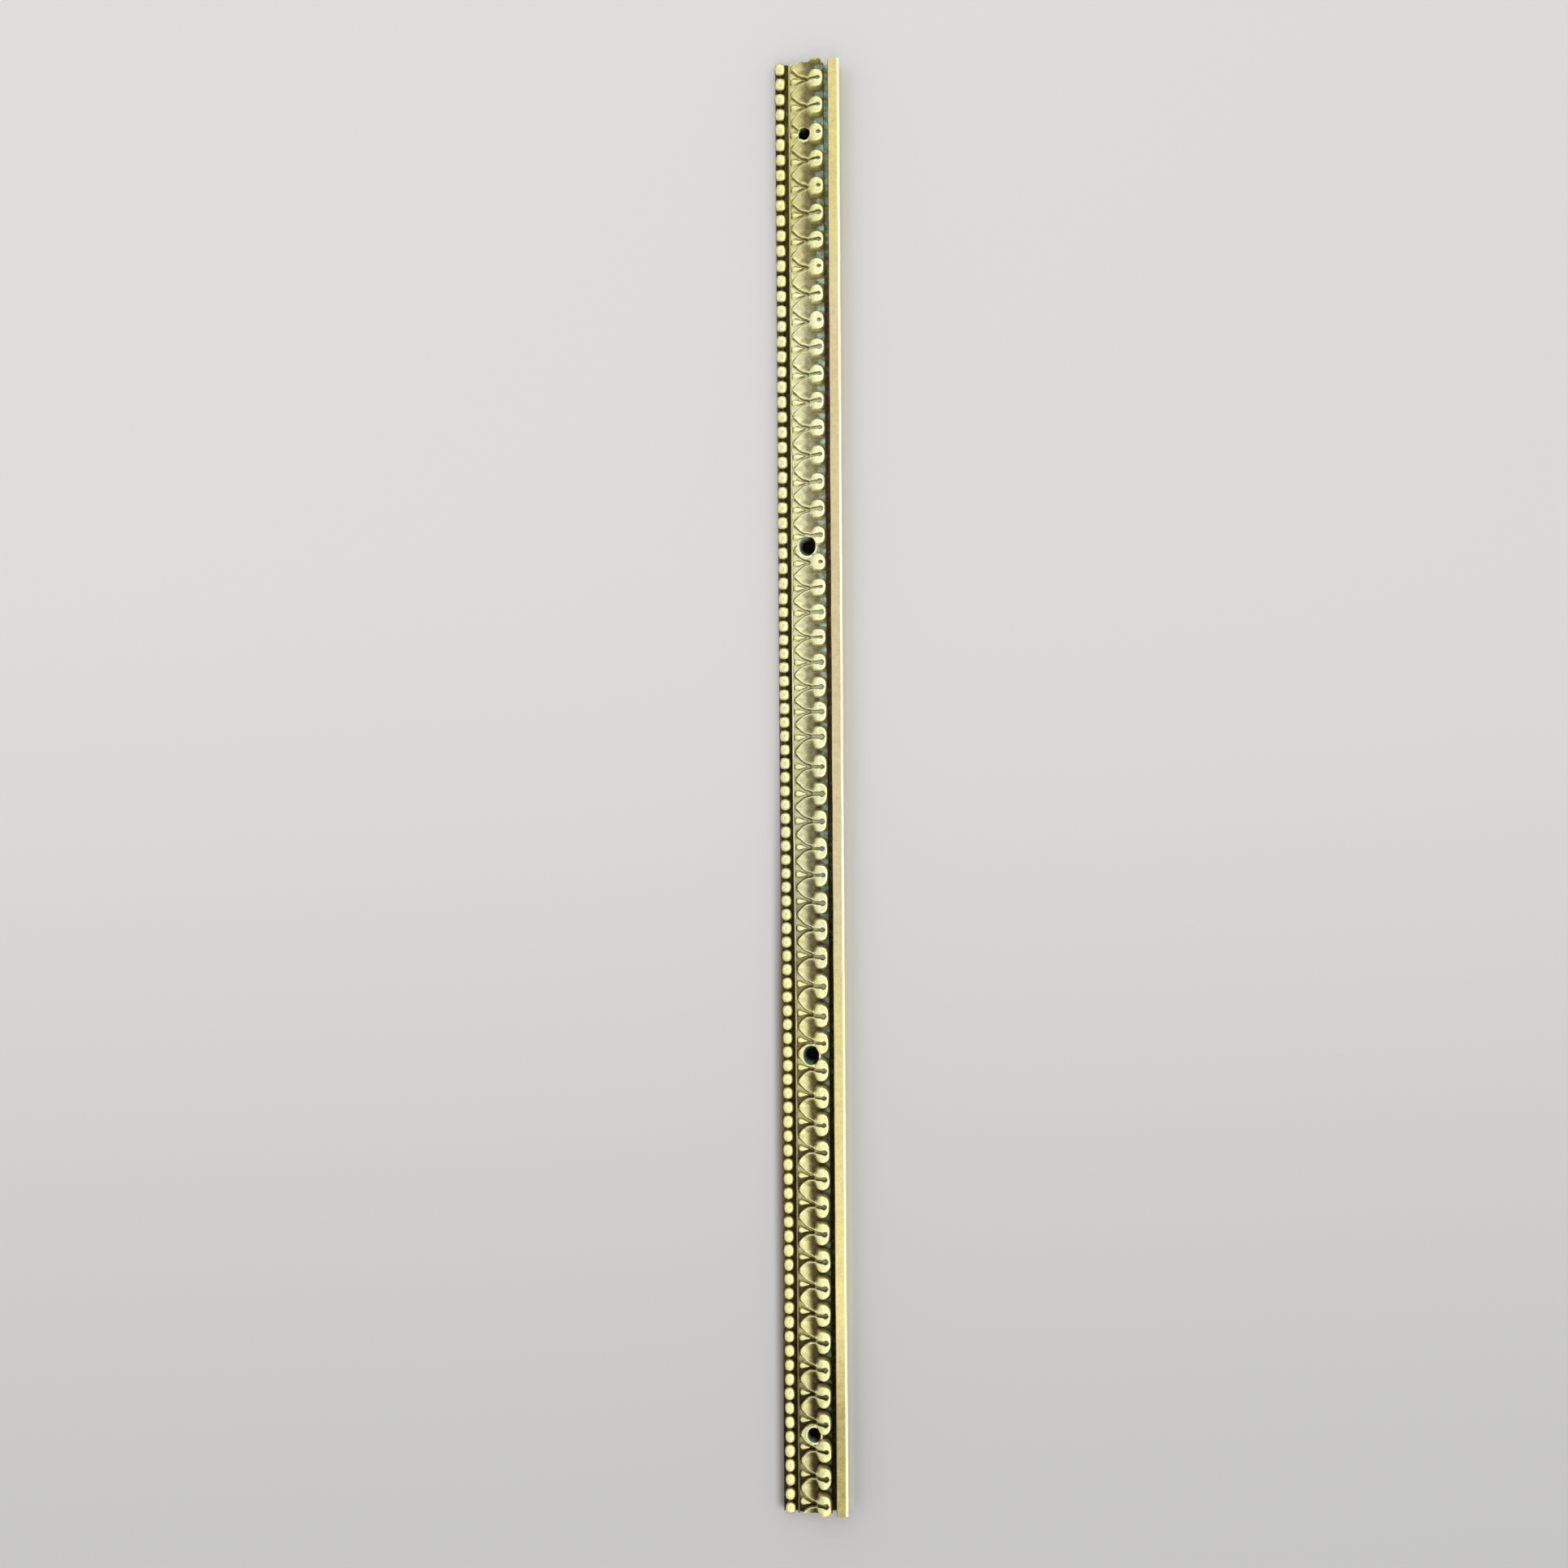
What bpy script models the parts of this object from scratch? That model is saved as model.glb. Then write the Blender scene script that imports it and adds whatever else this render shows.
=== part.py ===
"""Beaded leaf moulding: one cast-brass strip that is nailed along the edge of a piece of furniture.

The strip lies on its flat back. X runs across it, from the bead row (-X) to the plain fillet (+X),
Y runs along it and Z out of its decorated face. The origin is the middle of the back.
"""

import math

import bmesh
import bpy
from mathutils import Vector

MM = 0.001

# Driving dimensions
LENGTH = 272.0 * MM
WIDTH = 12.0 * MM

# Plain parts: the ledge under the beads, the floor under the leaf band and in front of the fillet, the fillet
LEDGE_TOP = 0.9 * MM
BAND_LEFT = -3.4 * MM
FLOOR = 1.2 * MM
FILLET_LEFT = 3.8 * MM
FILLET_TOP = 4.0 * MM
FILLET_CHAMFER = 0.6 * MM

# The ornament was made up from shorter lengths, so its spacing changes along the strip. Distances are from
# the +Y end: the first slot or bead, then runs of (how many more, how far apart). The first slot is past the
# end, which cuts through its leaf.
FIRST_SLOT = -1.42 * MM
SLOT_RUNS = ((19, 5.02 * MM), (7, 4.65 * MM), (1, 5.6 * MM), (7, 5.08 * MM), (2, 5.5 * MM), (18, 5.08 * MM))
FIRST_BEAD = 1.1 * MM
BEAD_RUNS = ((35, 2.84 * MM), (36, 2.58 * MM), (29, 2.69 * MM))

# The bead row is one bar that swells into each bead: (place within the bead's own pitch, swelling)
BEAD_X = -5.0 * MM
BEAD_ACROSS = 1.8 * MM
BEAD_TOP = 2.1 * MM
BEAD_SWELL = ((-0.27, 0.95), (0.27, 0.95), (0.5, 0.38))

# The leaf band. Every repeat is the same on both sides of a slot that points across the strip: heart-shaped
# leaves share the repeat's two ends, a dart lies in the open end of the slot, and the slot's other end is a
# round eye inside a raised lobe. Each station is one place across the strip, in millimetres: x, half the
# slot's width, then the heights of the slot's middle, slot's side, leaf's edge, leaf's crown and leaf's axis.
STATIONS = (
    (-3.40, 2.10, 1.95, 1.95, 1.95, 1.95, 1.95),
    (-3.00, 2.15, 2.10, 1.70, 2.15, 2.20, 2.20),
    (-2.20, 1.70, 2.40, 1.55, 2.20, 1.95, 1.80),
    (-1.10, 0.95, 1.95, 1.60, 2.40, 1.85, 1.60),
    (-0.10, 0.36, 1.80, 1.80, 2.50, 2.00, 1.60),
    (0.60, 0.38, 2.00, 2.00, 3.50, 3.65, 1.90),
    (1.75, 0.52, 2.20, 2.20, 3.90, 4.15, 2.10),
    (2.35, 0.20, 3.80, 3.80, 3.85, 3.80, 2.05),
    (2.85, 0.60, 3.00, 3.00, 2.95, 2.70, 1.70),
)
SLOT_WALL = 0.24 * MM
CROWN = 0.6

# Nail holes: distance from the +Y end, x, and the diameter of the countersunk mouth
NAIL_HOLES = (
    (13.6 * MM, -0.65 * MM, 2.3 * MM),
    (91.0 * MM, -0.30 * MM, 3.2 * MM),
    (186.1 * MM, -0.20 * MM, 3.2 * MM),
    (257.2 * MM, -0.15 * MM, 2.7 * MM),
)
NAIL_HOLE_DIAMETER = 2.0 * MM
COUNTERSINK_FLOOR = 1.3 * MM
COUNTERSINK_TOP = 2.2 * MM
HOLE_SIDES = 16

BRASS = (0.78, 0.66, 0.33, 1.0)


def clear_scene():
    for obj in list(bpy.data.objects):
        bpy.data.objects.remove(obj)


def brass():
    """Cast brass, brushed bright on its high places."""
    material = bpy.data.materials.new("cast_brass")
    material.use_nodes = True
    shader = material.node_tree.nodes["Principled BSDF"]
    shader.inputs["Base Color"].default_value = BRASS
    shader.inputs["Metallic"].default_value = 1.0
    shader.inputs["Roughness"].default_value = 0.38
    return material


def places(first, runs):
    """Where each repeat of a row stands along Y, from the +Y end to the -Y end."""
    found = [LENGTH / 2 - first]
    for count, pitch in runs:
        for _ in range(count):
            found.append(found[-1] - pitch)
    return found


def plain_strip():
    """The strip without its ornament: its cross section pushed along its length."""
    side = WIDTH / 2
    outline = (
        (-side, 0.0),
        (side, 0.0),
        (side, FILLET_TOP - FILLET_CHAMFER),
        (side - FILLET_CHAMFER, FILLET_TOP),
        (FILLET_LEFT + 0.1 * MM, FILLET_TOP),
        (FILLET_LEFT, FLOOR),
        (BAND_LEFT, FLOOR),
        (BAND_LEFT, LEDGE_TOP),
        (-side, LEDGE_TOP),
    )
    return lofted("moulding_strip", [[(x, y, z) for x, z in outline] for y in (LENGTH / 2, -LENGTH / 2)])


def leaf_band():
    """The band of leaves, from the +Y end to the -Y end."""
    slots = places(FIRST_SLOT, SLOT_RUNS)
    rows = []
    for i, slot in enumerate(slots):
        before = slots[i - 1] - slot if i else slot - slots[1]
        after = slot - slots[i + 1] if i + 1 < len(slots) else before
        rows += [leaf_row(slot, step, before) for step in (4, 3, 2, 1)]
        rows += [leaf_row(slot, step, after) for step in (0, -1, -2, -3)]
    rows.append(leaf_row(slots[-1], -4, before))
    return lofted("leaf_band_shape", rows)


def leaf_row(slot, step, pitch):
    """One line across the band: step 0 is the slot's middle, +-1 its side, +-2 the leaf's edge,
    +-3 the leaf's crown and +-4 the leaf's axis, which is halfway to the next slot."""
    row = []
    for x, half_width, *heights in STATIONS:
        edge = half_width * MM + SLOT_WALL / 2
        crown = edge + CROWN * (pitch / 2 - edge)
        away = (0.0, edge - SLOT_WALL, edge, crown, pitch / 2)[abs(step)]
        row.append((x * MM, slot + math.copysign(away, step), heights[abs(step)] * MM))
    root = FLOOR - 0.3 * MM
    return [(row[0][0], row[0][1], root), *row, (row[-1][0], row[-1][1], root)]


def bead_row():
    """The beads and the short necks between them, as one half-round bar that is rooted in the ledge."""
    beads = places(FIRST_BEAD, BEAD_RUNS)
    rows = []
    for i, bead in enumerate(beads):
        pitch = beads[i - 1] - bead if i else bead - beads[1]
        rows += [bead_section(bead - along * pitch, swell) for along, swell in BEAD_SWELL]
    return lofted("bead_row_shape", [bead_section(LENGTH / 2 + 0.3 * MM, BEAD_SWELL[-1][1]), *rows])


def bead_section(y, swell):
    """A half-round section of the bead row."""
    points = []
    for angle in (10, 50, 90, 130, 170):
        across = BEAD_ACROSS / 2 * swell * math.cos(math.radians(angle))
        rise = (BEAD_TOP - LEDGE_TOP) * swell * math.sin(math.radians(angle))
        points.append((BEAD_X + across, y, LEDGE_TOP + rise))
    root = LEDGE_TOP - 0.3 * MM
    return [(points[0][0], y, root), *points, (points[-1][0], y, root)]


def lofted(name, loops):
    """A closed body: a skin over the loops of points, cut square at the strip's two ends."""
    body = bmesh.new()
    made = [[body.verts.new(point) for point in loop] for loop in loops]
    for near, far in zip(made, made[1:]):
        for i in range(len(near)):
            body.faces.new((near[i - 1], near[i], far[i], far[i - 1]))
    for loop in (made[0], made[-1]):
        body.faces.new(loop)
    for end in (1, -1):
        everything = [*body.verts, *body.edges, *body.faces]
        cut = bmesh.ops.bisect_plane(
            body, geom=everything, dist=1e-7, clear_outer=True,
            plane_co=Vector((0, end * LENGTH / 2, 0)), plane_no=Vector((0, end, 0)),
        )
        rim = [edge for edge in cut["geom_cut"] if isinstance(edge, bmesh.types.BMEdge) and edge.is_boundary]
        if rim:
            bmesh.ops.contextual_create(body, geom=rim)
    return object_from(name, body)


def nail_hole_cutters():
    """A turned cutter for each nail hole: the shank's hole, and above it a cone for the mouth."""
    cutters = bmesh.new()
    margin = 1.0 * MM
    top = FILLET_TOP + margin
    for from_end, x, mouth in NAIL_HOLES:
        slope = (mouth - NAIL_HOLE_DIAMETER) / 2 / (COUNTERSINK_TOP - COUNTERSINK_FLOOR)
        rings = (
            (-margin, NAIL_HOLE_DIAMETER / 2),
            (COUNTERSINK_FLOOR, NAIL_HOLE_DIAMETER / 2),
            (top, NAIL_HOLE_DIAMETER / 2 + slope * (top - COUNTERSINK_FLOOR)),
        )
        circles = [ring_of(cutters, x, LENGTH / 2 - from_end, z, radius) for z, radius in rings]
        for low, high in zip(circles, circles[1:]):
            for i in range(HOLE_SIDES):
                cutters.faces.new((low[i - 1], low[i], high[i], high[i - 1]))
        cutters.faces.new(circles[0])
        cutters.faces.new(circles[-1])
    return object_from("nail_hole_cutters", cutters)


def ring_of(builder, x, y, z, radius):
    """A ring of points round a vertical line."""
    angles = [math.tau * i / HOLE_SIDES for i in range(HOLE_SIDES)]
    return [builder.verts.new((x + radius * math.cos(a), y + radius * math.sin(a), z)) for a in angles]


def object_from(name, builder):
    """A linked object that holds the finished mesh, with its faces turned outwards."""
    bmesh.ops.recalc_face_normals(builder, faces=builder.faces)
    mesh = bpy.data.meshes.new(name)
    builder.to_mesh(mesh)
    builder.free()
    obj = bpy.data.objects.new(name, mesh)
    bpy.context.scene.collection.objects.link(obj)
    return obj


def combine(obj, helper, operation):
    """Joins the helper to the object, or cuts it away, and hides the helper."""
    helper.hide_render = True
    helper.display_type = "WIRE"
    modifier = obj.modifiers.new(helper.name, "BOOLEAN")
    modifier.operation = operation
    modifier.object = helper
    modifier.solver = "EXACT"


def main():
    clear_scene()
    strip = plain_strip()
    strip.data.materials.append(brass())
    combine(strip, leaf_band(), "UNION")
    combine(strip, bead_row(), "UNION")
    combine(strip, nail_hole_cutters(), "DIFFERENCE")


main()
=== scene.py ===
# %% [markdown]
# # A beaded leaf moulding in cast brass
# The object is one narrow strip of cast brass that a cabinet maker nails along an edge. From left to right
# it has a row of beads, a dark groove, a band of heart-shaped leaves with a raised lobe behind each slot, a
# deeper groove and a plain square fillet. Four empty nail holes go through the leaf band.
#
# The CAD model already has the right size and the right spacing, but it is coarse. Here the same strip is
# modelled again finely in three pieces that grow into each other: the plain bar, the beads and the leaves.

import math
import random

import bpy
import numpy as np
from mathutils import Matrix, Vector, noise


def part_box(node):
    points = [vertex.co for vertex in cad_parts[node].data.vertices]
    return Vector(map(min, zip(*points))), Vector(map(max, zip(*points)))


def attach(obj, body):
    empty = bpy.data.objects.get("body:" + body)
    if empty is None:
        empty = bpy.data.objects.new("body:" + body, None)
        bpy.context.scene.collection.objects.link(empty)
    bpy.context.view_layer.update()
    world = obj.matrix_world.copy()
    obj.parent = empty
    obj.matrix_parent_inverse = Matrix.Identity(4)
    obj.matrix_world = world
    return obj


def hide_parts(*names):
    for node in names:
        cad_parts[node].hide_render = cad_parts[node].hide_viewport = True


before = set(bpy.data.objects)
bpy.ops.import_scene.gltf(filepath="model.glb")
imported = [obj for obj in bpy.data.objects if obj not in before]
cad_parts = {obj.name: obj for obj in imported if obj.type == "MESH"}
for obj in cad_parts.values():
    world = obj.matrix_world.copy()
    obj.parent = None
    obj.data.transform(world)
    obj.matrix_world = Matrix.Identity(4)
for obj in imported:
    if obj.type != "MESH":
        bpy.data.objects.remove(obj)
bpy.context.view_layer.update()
low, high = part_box("moulding_strip")
MM = 0.001
LENGTH = high.y - low.y
END = LENGTH / 2
SIDE = (high.x - low.x) / 2
print(f"the strip is {LENGTH / MM:.1f} mm long and {2 * SIDE / MM:.1f} mm wide")

# %% [markdown]
# ## Small helpers
# Blender's operators act on whatever is selected, so every step starts with nothing selected. A finished
# piece keeps its place in its mesh, with its origin at the middle of the strip's back.


# %% Selecting and finishing
def select_only(*objects):
    bpy.ops.object.select_all(action="DESELECT")
    for obj in objects:
        obj.select_set(True)
    bpy.context.view_layer.objects.active = objects[0]


def added(name):
    """Names the primitive that an operator has just added, and fixes its size and place in its mesh."""
    obj = bpy.context.active_object
    obj.name = obj.data.name = name
    select_only(obj)
    bpy.ops.object.transform_apply(location=True, rotation=True, scale=True)
    return obj


def points_of(mesh):
    flat = np.empty(len(mesh.vertices) * 3)
    mesh.vertices.foreach_get("co", flat)
    return flat.reshape(-1, 3)


def move_points(mesh, points):
    mesh.vertices.foreach_set("co", np.ascontiguousarray(points).ravel())
    mesh.update()


def store(mesh, **values):
    """Keeps a number from 0 to 1 on every point, under a name that a material can read."""
    for name, value in values.items():
        layer = mesh.attributes.new(name, "FLOAT", "POINT")
        layer.data.foreach_set("value", np.clip(value, 0, 1).astype(np.float32))


def stored(mesh, name):
    values = np.empty(len(mesh.vertices), np.float32)
    mesh.attributes[name].data.foreach_get("value", values)
    return values


def ease(start, stop, value):
    """Rises smoothly from 0 at start to 1 at stop."""
    k = np.clip((value - start) / (stop - start), 0, 1)
    return k * k * (3 - 2 * k)


def select_where(obj, kind, test):
    """Selects the faces or edges whose middle passes the test, and leaves the object in edit mode."""
    bpy.ops.object.mode_set(mode="EDIT")
    bpy.ops.mesh.select_mode(type=kind)
    bpy.ops.mesh.select_all(action="DESELECT")
    bpy.ops.object.mode_set(mode="OBJECT")
    places = points_of(obj.data)
    parts = obj.data.polygons if kind == "FACE" else obj.data.edges
    for part in parts:
        part.select = bool(test(places[list(part.vertices)]))
    bpy.ops.object.mode_set(mode="EDIT")


def apply_all(obj):
    select_only(obj)
    for modifier in list(obj.modifiers):
        bpy.ops.object.modifier_apply(modifier=modifier.name)


# %% [markdown]
# ## The spacing of the ornament
# The maker's pattern was pieced together from shorter lengths, so the leaves and the beads don't keep one
# pitch. Each run says how many more there are and how far apart they stand, counted from the strip's far end.


# %% Places of the leaves, the beads and the nail holes
def places(first, runs):
    found = [END - first * MM]
    for count, pitch in runs:
        for _ in range(count):
            found.append(found[-1] - pitch * MM)
    return found


slots = places(-1.42, ((19, 5.02), (7, 4.65), (1, 5.6), (7, 5.08), (2, 5.5), (18, 5.08)))
beads = places(1.1, ((35, 2.84), (36, 2.58), (29, 2.69)))
# Each nail hole, in mm: its distance from the far end, its x, and its mouth's shift in x, width and length
nail_holes = (
    (13.6, -0.65, 0.0, 2.1, 2.4),
    (90.8, -0.30, -0.25, 3.1, 3.7),
    (186.1, -0.20, -0.25, 3.0, 3.7),
    (257.2, -0.15, -0.15, 2.5, 2.9),
)
print(len(slots), "leaf slots,", len(beads), "beads and", len(nail_holes), "nail holes")

# %% [markdown]
# ## The plain bar
# The bar is the part of the casting that carries the ornament: a thin ledge under the beads, a thicker floor
# under the leaves, and the square fillet. One box is cut lengthwise by two planes, and the top faces are then
# extruded to their own heights. That keeps it one closed skin, which separate boxes wouldn't be.

# %% Cut and extrude the bar
LEDGE_TOP = 0.9 * MM
FLOOR_TOP = 1.2 * MM
FILLET_TOP = 4.0 * MM
BAND_LEFT = -3.4 * MM
BAND_RIGHT = 3.1 * MM
FILLET_LEFT = 3.8 * MM

bpy.ops.object.select_all(action="DESELECT")
bpy.ops.mesh.primitive_cube_add(size=1, location=(0, 0, LEDGE_TOP / 2), scale=(2 * SIDE, LENGTH, LEDGE_TOP))
bar = added("plain_bar")
for x in (BAND_LEFT, FILLET_LEFT):
    select_where(bar, "FACE", lambda corners: True)
    bpy.ops.mesh.bisect(plane_co=(x, 0, 0), plane_no=(1, 0, 0))
    bpy.ops.object.mode_set(mode="OBJECT")
for left, height in ((BAND_LEFT, FLOOR_TOP), (FILLET_LEFT, FILLET_TOP)):
    base = LEDGE_TOP if left == BAND_LEFT else FLOOR_TOP
    select_where(bar, "FACE", lambda c: c[:, 2].min() > base - 1e-6 and c[:, 0].min() > left - 1e-6)
    bpy.ops.mesh.extrude_region_move(TRANSFORM_OT_translate={"value": (0, 0, height - base)})
    bpy.ops.object.mode_set(mode="OBJECT")
print("the bar has", len(bar.data.polygons), "faces")

# %% [markdown]
# The fillet's outer top edge is worn to a broad round and the inner one is still nearly square, so they get
# bevels of different widths. The long faces are then divided along the strip, because filed and handled brass
# is never quite straight, and a face can only bend where it has points.

# %% Bevel the fillet and divide the bar
LONG = 0.5 * LENGTH


def bevel_long_edge(x, z, width, segments):
    def on_edge(ends):
        return np.allclose(ends[:, 0], x, atol=1e-6) and np.allclose(ends[:, 2], z, atol=1e-6)

    select_where(bar, "EDGE", on_edge)
    bpy.ops.mesh.bevel(offset=width, segments=segments, profile=0.5)
    bpy.ops.object.mode_set(mode="OBJECT")


bevel_long_edge(SIDE, FILLET_TOP, 0.62 * MM, 5)
bevel_long_edge(FILLET_LEFT, FILLET_TOP, 0.16 * MM, 3)
bevel_long_edge(SIDE, 0.0, 0.12 * MM, 2)
bevel_long_edge(-SIDE, 0.0, 0.12 * MM, 2)
select_where(bar, "EDGE", lambda ends: abs(ends[0][1] - ends[1][1]) > LONG)
bpy.ops.mesh.subdivide(number_cuts=90)
bpy.ops.object.mode_set(mode="OBJECT")
select_where(bar, "EDGE", lambda ends: abs(ends[0][1] - ends[1][1]) > 1.5 * MM)
bpy.ops.mesh.subdivide(number_cuts=2)
bpy.ops.object.mode_set(mode="OBJECT")


def hand_made(points, size, reach):
    """A smooth, uneven nudge for each point: size is how long its waves are and reach how far it moves."""
    return np.array([noise.noise_vector(Vector(p) / size) for p in points]) * reach


# Without a seed, Blender takes one from the clock, and the strip would come out differently on every run.
noise.seed_set(7)
points = points_of(bar.data)
nudge = hand_made(points, 9 * MM, 0.05 * MM) + hand_made(points, 1.7 * MM, 0.018 * MM)
nudge[:, 1] = 0
nudge[points[:, 2] < 0.5 * MM] = 0
nudge[np.abs(points[:, 0]) > SIDE - 0.01 * MM, 0] *= 0.4
move_points(bar.data, points + nudge)
select_only(bar)
bpy.ops.object.shade_smooth_by_angle(angle=math.radians(40))
bar.modifiers.new("flat_faces_stay_flat", "WEIGHTED_NORMAL").keep_sharp = True
print("the bar now has", len(bar.data.polygons), "faces")

# %% [markdown]
# ## The bead row
# In the near half the beads are round pearls, and in the far half they are pressed squarer, like barrels. A
# low web runs from one to the next. Each kind is modelled once, from a sphere that a Cast modifier presses
# towards a box. It is then copied along the ledge, and each copy is turned and sized a little differently.
# The row is slightly bowed, so the near beads lie a little further in.

# %% A barrel and a pearl
BEAD_X = -5.1 * MM
BEAD_HEIGHT = 1.2 * MM
HALF_BEAD = 1.0 * MM
WEB_RADIUS = 0.5 * MM
BARRELS = 48


def bead(name, boxiness, half_length):
    bpy.ops.object.select_all(action="DESELECT")
    bpy.ops.mesh.primitive_uv_sphere_add(segments=16, ring_count=10, radius=1,
                                         scale=(HALF_BEAD, half_length, 0.98 * HALF_BEAD))
    made = added(name)
    cast = made.modifiers.new("pressed", "CAST")
    cast.cast_type = "CUBOID"
    cast.factor = boxiness
    cast.size = HALF_BEAD
    apply_all(made)
    bpy.ops.object.shade_smooth()
    print(name, "has", len(made.data.polygons), "faces")
    return made


def bow(y):
    """How much further in than the first bead a bead lies, at y in metres."""
    return 0.3 * MM * ease(50 * MM, -50 * MM, y)


barrel = bead("barrel", 0.3, 1.16 * MM)
pearl = bead("pearl", 0.16, 1.2 * MM)

# %% The row of beads and the web under it
USUAL_PITCH = 2.6 * MM

random.seed(11)
row = []
for i, y in enumerate(beads):
    master = barrel if i < BARRELS else pearl
    copy = master.copy()
    copy.data = master.data.copy()
    bpy.context.scene.collection.objects.link(copy)
    pitch = (beads[i - 1] - y) if i else (y - beads[1])
    width = random.uniform(0.95, 1.04)
    length = random.uniform(0.93, 1.03) * min(pitch / USUAL_PITCH, 1.06)
    copy.scale = (width, length, random.uniform(0.95, 1.03))
    copy.rotation_euler = [random.uniform(-0.12, 0.12) for _ in range(3)]
    copy.location = (BEAD_X + float(bow(y)) + random.uniform(-0.03, 0.05) * MM, y, BEAD_HEIGHT)
    row.append(copy)
for master in (barrel, pearl):
    bpy.data.objects.remove(master)

bpy.ops.object.select_all(action="DESELECT")
bpy.ops.mesh.primitive_cylinder_add(vertices=12, radius=WEB_RADIUS, depth=LENGTH,
                                    location=(BEAD_X + 0.12 * MM, 0, 0.85 * MM), rotation=(math.pi / 2, 0, 0))
web = added("bead_web")
bpy.ops.object.shade_smooth_by_angle(angle=math.radians(40))
select_only(web, *row)
bpy.ops.object.join()
bead_row = added("bead_row")
for end in (1, -1):
    select_where(bead_row, "FACE", lambda corners: True)
    bpy.ops.mesh.bisect(plane_co=(0, end * END, 0), plane_no=(0, end, 0), clear_outer=True, use_fill=True)
    bpy.ops.object.mode_set(mode="OBJECT")
print("the bead row has", len(bead_row.data.polygons), "faces")

# %% [markdown]
# ## One leaf
# A repeat of the band is the same on both sides of a slot that points across the strip. Its two outer lines
# are the axes of two heart-shaped leaves, which the neighbouring repeats share. A small dart lies in the
# slot's open end, and a raised lobe wraps round the slot's closed end like a horseshoe.
#
# Extruding such a shape face by face gives hard steps, which a cast and chased surface doesn't have. So a
# flat grid is drawn first, and its points are moved: along the strip, so that the grid's lines run along the
# edges of the dart, leaf and lobe, and then up to the height of the relief. From here to the end of the
# repeat, all sizes are in millimetres. Each formula works on all the points at once, with x across the strip
# and s along it, counted from the middle of the slot.

# %% Outlines of the dart, the slot, the leaf and the lobe
HALF = 2.52  # half a repeat's length, before it is stretched to its place
SLOT_X = 1.85
FAR_AWAY = 9.0
LOBE_SIDES_END = 1.3
LOBE_DEPTH = 1.7
SQUARENESS = 2.8


def dome(inside, radius):
    """The height of a rounded edge: 0 on the edge, and 1 once the point is a radius inside it."""
    k = np.clip(inside / radius, 0, 1)
    return np.sqrt(1 - (1 - k) ** 2)


def dart_half(x):
    """How far the dart reaches from the middle of the slot. It is blunt in front and tapers to a point."""
    taper = 0.08 + 0.68 * np.clip((-0.8 - x) / 1.7, 0, 1) ** 1.2
    return taper * np.clip(dome(x + 3.0, 0.5), 0.1, 1)


def slot_half(x, eye, stem):
    """Half the width of the slot, a narrow stem that ends in a round eye."""
    round_end = np.sqrt(np.clip(eye**2 - (x - SLOT_X) ** 2, 0, None))
    return np.where(x < SLOT_X, np.maximum(stem, round_end), round_end)


def leaf_edge(x, eye, stem):
    """How far the leaf's edge is from the middle of the slot. Behind the neck it is the slot's own side."""
    leaf = HALF - 2.1 * (1 - np.clip((-0.2 - x) / 2.8, 0, 1) ** 2.15)
    neck = ease(-0.45, 0.15, x)
    return np.clip(leaf, 0.1, None) * (1 - neck) + slot_half(x, eye, stem) * neck


def lobe_half(x, size):
    """How far the lobe reaches from the middle of the slot."""
    across = np.clip((x - LOBE_SIDES_END) / LOBE_DEPTH, 0, 1)
    back = size * np.clip(1 - across**SQUARENESS, 0, 1) ** (1 / SQUARENESS)
    return np.where(x > LOBE_SIDES_END, back, size - 0.12 * ((LOBE_SIDES_END - x) / 0.9) ** 2)


def lobe_inside(x, s, size):
    """How far a point lies inside the lobe's outline, a rounded square behind that flares in front."""
    across = np.clip((x - LOBE_SIDES_END) / LOBE_DEPTH, 0, None)
    around = (across**SQUARENESS + (s / size) ** SQUARENESS) ** (1 / SQUARENESS)
    towards_back = (across / np.maximum(around, 1e-6)) ** 2
    behind = (1 - around) * (size - 0.4 * towards_back)
    return np.where(x > LOBE_SIDES_END, behind, lobe_half(x, size) - s)


# %% [markdown]
# The height is the largest of five shapes that lie over each other: the bed with the hollowed leaf, the rim
# beside the bead groove, the lobe, the dart, and a thin rib between two lobes. The same formulas know where
# each zone of the ornament is, so they also say how bright each zone is painted, from worn metal and painted
# highlight to tarnish and painted shade, and where green crust grows.

# %% Height of the relief, and how bright it is painted, with wear, painted highlight and painted shade
BAND_EDGE = -3.4
UNDER_LEAF_TIP = -3.1
RIM_END = -3.02
BED = 1.42
LOBE_TOP = 3.45
SEAM = 1.1


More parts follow.
